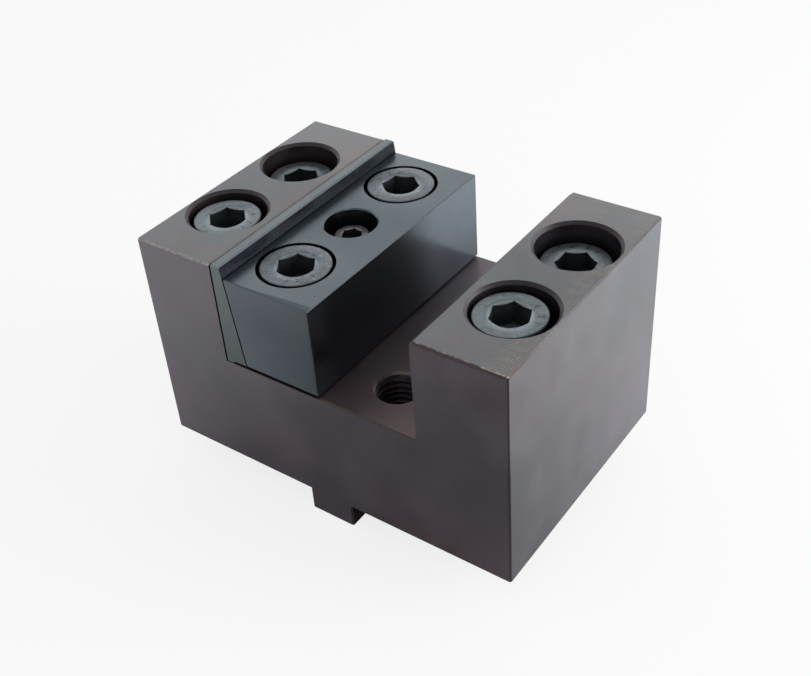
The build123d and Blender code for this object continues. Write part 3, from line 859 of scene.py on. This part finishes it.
def screw_finish(name, tone, tint, roughness):
    """Oiled oxide on a screw: turning rings, a painted glint on the socket's mouth, and painted
    shade in the socket and on the head's rounded edge."""
    glint, fleck, stain = (0.40, 0.46, 0.50, 1), (0.36, 0.41, 0.44, 1), (0.085, 0.10, 0.11, 1)
    socket_shade, rounded_edge_shade = (0.03, 0.034, 0.04, 1), (0.028, 0.031, 0.034, 1)
    material, tree, shader, place, _, (_, _, nz) = new_finish(name, 0.9, roughness)
    reach = add_node(tree, "ShaderNodeAttribute", attribute_name="from_axis").outputs["Fac"]
    depth = add_node(tree, "ShaderNodeAttribute", attribute_name="below_top").outputs["Fac"]
    across = add_node(tree, "ShaderNodeCombineXYZ")
    feed(tree, across.inputs[0], reach)
    turning = mottle(tree, across.outputs[0], 3.2, 3.0, 0.6)
    patches = mottle(tree, place, 420.0, 3.0, 0.55)
    fine = mottle(tree, place, 2600.0, 3.0, 0.6)
    flecks = between(tree, mottle(tree, place, 900.0, 3.0, 0.6), 0.56, 0.70, 0.0, 0.45)
    stains = between(tree, mottle(tree, place, 330.0, 3.0, 0.6), 0.56, 0.68, 0.0, 0.4)
    on_top = between(tree, depth, 0.25, 0.05)
    by_socket = between(tree, reach, 4.9, 4.7)
    cone = times(tree, between(tree, nz, 0.6, 0.75), between(tree, nz, 0.98, 0.94), on_top)
    upright = times(tree, near(tree, nz, 0.0, 0.3, 0.5), between(tree, depth, 0.0, 0.06))
    walls = reckon(tree, "MAXIMUM", between(tree, depth, 0.5, 0.9), upright)
    in_socket = times(tree, by_socket, walls, between(tree, depth, 9.0, 8.0))
    rounded = times(tree, between(tree, depth, 0.01, 0.09), between(tree, depth, 2.0, 1.2),
                    between(tree, reach, 6.9, 7.1))
    colour = blend(tree, patches, 0.35, 0.65, tone, tint)
    colour = coated(tree, colour, (
        (1.0, lightness(tree, turning, 0.9, 1.1)),
        (1.0, lightness(tree, fine, 0.9, 1.1))), "MULTIPLY")
    # painted glint on the socket's mouth, and painted shade in the socket and on the head's rounded
    # edge
    colour = coated(tree, colour, (
        (times(tree, cone, by_socket, 0.5), glint), (times(tree, on_top, flecks), fleck),
        (times(tree, on_top, stains), stain), (times(tree, in_socket, 0.6), socket_shade),
        (times(tree, rounded, 0.92), rounded_edge_shade)))
    feed(tree, shader.inputs["Base Color"], colour)
    feed(tree, shader.inputs["Roughness"],
         lightness(tree, patches, roughness - 0.05, roughness + 0.06))
    raised = reckon(tree, "ADD", times(tree, turning, on_top), times(tree, fine, 0.4))
    emboss(tree, shader, raised, 0.012 * mm, 0.5)
    return material


screw_black = screw_finish("screw_black", (0.180, 0.214, 0.233, 1), (0.214, 0.252, 0.271, 1), 0.36)
clamp_black = screw_finish("clamp_black", (0.164, 0.184, 0.206, 1), (0.192, 0.213, 0.236, 1), 0.36)
finishes = {"mount": screw_black, "clamp": clamp_black}
figure_black, figure_grey = (0.045, 0.052, 0.058, 1), (0.085, 0.095, 0.10, 1)
stamp_dark, tree, shader, place, _, _ = new_finish("stamp_dark", 0.9, 0.5)
figure_colour = mixed(tree, mottle(tree, place, 1800.0), figure_black, figure_grey)
feed(tree, shader.inputs["Base Color"], figure_colour)

for name, socket_turn, figure_turn in cap_screws:
    kind = name.split("_")[0]
    length = screw_length[kind]
    threaded = min(longest_thread, length)
    thread = grown(thread_tree, finishes[kind], root=thread_root, depth=thread_crest - thread_root,
                   pitch=thread_pitch, length=threaded - 1.6, start=-head_height - length + 0.45)
    knurl = grown(knurl_tree, finishes[kind], radius=head_core - 0.03, ridges=knurl_ridges,
                  width=0.25, height=head_height - 2.2, middle=-head_height / 2 - 0.35)
    profile = cap_screw_profile(length, threaded, edge_radius[kind])
    shape = turned_form(profile, socket_flat, socket_depth, socket_mouth, socket_turn)
    low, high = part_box(name)
    top = Matrix.Translation(((low.x + high.x) / 2, (low.y + high.y) / 2, high.z))
    place_screw(name, "block" if kind == "mount" else name, [shape, stamped(figure_turn)],
                [thread, knurl], top, [finishes[kind], stamp_dark])

# Jack screw
# A set screw with a hexagon socket and a flat point, threaded from end to end. Its top is browner
# than the cap screws' heads.
jack_root, jack_crest, jack_pitch, jack_length = 3.23, 4.0, 1.25, 20.0
jack_flat, jack_mouth, jack_socket_depth, jack_turn = 2.2, 2.52, 4.0, 53
jack_brown = screw_finish("jack_brown", (0.146, 0.139, 0.146, 1), (0.178, 0.170, 0.178, 1), 0.4)
profile = [(2.6, -jack_length), (2.9, -jack_length), (jack_root, -jack_length + 0.4),
           (jack_root, -0.95), (3.78, -0.62), (3.93, -0.42), (3.90, -0.18), (3.80, -0.04),
           (3.68, 0.0), (2.9, 0.0)]
thread = grown(thread_tree, jack_brown, root=jack_root, depth=jack_crest - jack_root,
               pitch=jack_pitch, length=jack_length - 0.9, start=-jack_length + 0.3)
shape = turned_form(profile, jack_flat, jack_socket_depth, jack_mouth, jack_turn)
low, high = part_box("jack_screw")
top = Matrix.Translation(((low.x + high.x) / 2, (low.y + high.y) / 2, high.z))
place_screw("jack_screw", "jack_screw", [shape], [thread], top, [jack_brown])

# Gib screws
# Two countersunk screws with a hexagon socket that hold the gib to its tower, sunk just below
# the gib's sloping face.
gib_root, gib_crest, gib_pitch, gib_length = 1.57, 2.0, 0.7, 8.0
gib_flat, gib_mouth, gib_socket_depth = 1.25, 1.45, 1.4
profile = [(1.2, -gib_length), (1.35, -gib_length), (gib_root, -gib_length + 0.25),
           (gib_root, -2.6), (1.95, -2.2), (gib_crest, -1.92), (3.68, -0.24), (3.75, -0.14),
           (3.70, -0.03), (3.55, 0.0), (2.2, 0.0)]
for name in ("gib_screw_front", "gib_screw_rear"):
    thread = grown(thread_tree, screw_black, root=gib_root, depth=gib_crest - gib_root,
                   pitch=gib_pitch, length=gib_length - 2.6, start=-gib_length + 0.2)
    shape = turned_form(profile, gib_flat, gib_socket_depth, gib_mouth, 0)
    low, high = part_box(name)
    lying = Matrix.Rotation(pi / 2, 4, "Y")
    top = Matrix.Translation((high.x, (low.y + high.y) / 2, (low.z + high.z) / 2)) @ lying
    place_screw(name, "block", [shape], [thread], top, [screw_black])

# Floor thread
# The tapped hole in the slot's floor. Its thread is cut in the block's own steel, so its ridges
# stand inwards from the hole's wall.
tap_radius, ridge_height, tap_pitch, tap_depth = 5.05, 0.75, 1.5, 18.0
tapped_x, tapped_y = 13.0021 * mm, -20.0 * mm
thread_shade_dark, thread_shade_brown = (0.018, 0.013, 0.017, 1), (0.030, 0.022, 0.027, 1)
cut_steel, tree, shader, place, _, _ = new_finish("cut_steel", 0.9, 0.38)
cloud = mottle(tree, place, 500.0, 3.0)
# painted shade: the thread inside the hole is painted near black
feed(tree, shader.inputs["Base Color"], blend(tree, cloud, 0.35, 0.65, thread_shade_dark, thread_shade_brown))
emboss(tree, shader, cloud, 0.02 * mm, 0.5)
ridges = grown(thread_tree, cut_steel, root=tap_radius, depth=-ridge_height, pitch=tap_pitch,
               length=tap_depth - 1.6, start=-tap_depth + 0.6)
form = bmesh.new()
form.from_mesh(ridges)
bmesh.ops.recalc_face_normals(form, faces=form.faces)
form.to_mesh(ridges)
form.free()
ridges.shade_smooth()
ridges.set_sharp_from_angle(angle=sharp_angle)
ridges.transform(Matrix.Translation((tapped_x, tapped_y, slot_z)) @ Matrix.Scale(mm, 4))
floor_thread = bpy.data.objects.new("floor_thread", ridges)
scene.collection.objects.link(floor_thread)
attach(floor_thread, "block")
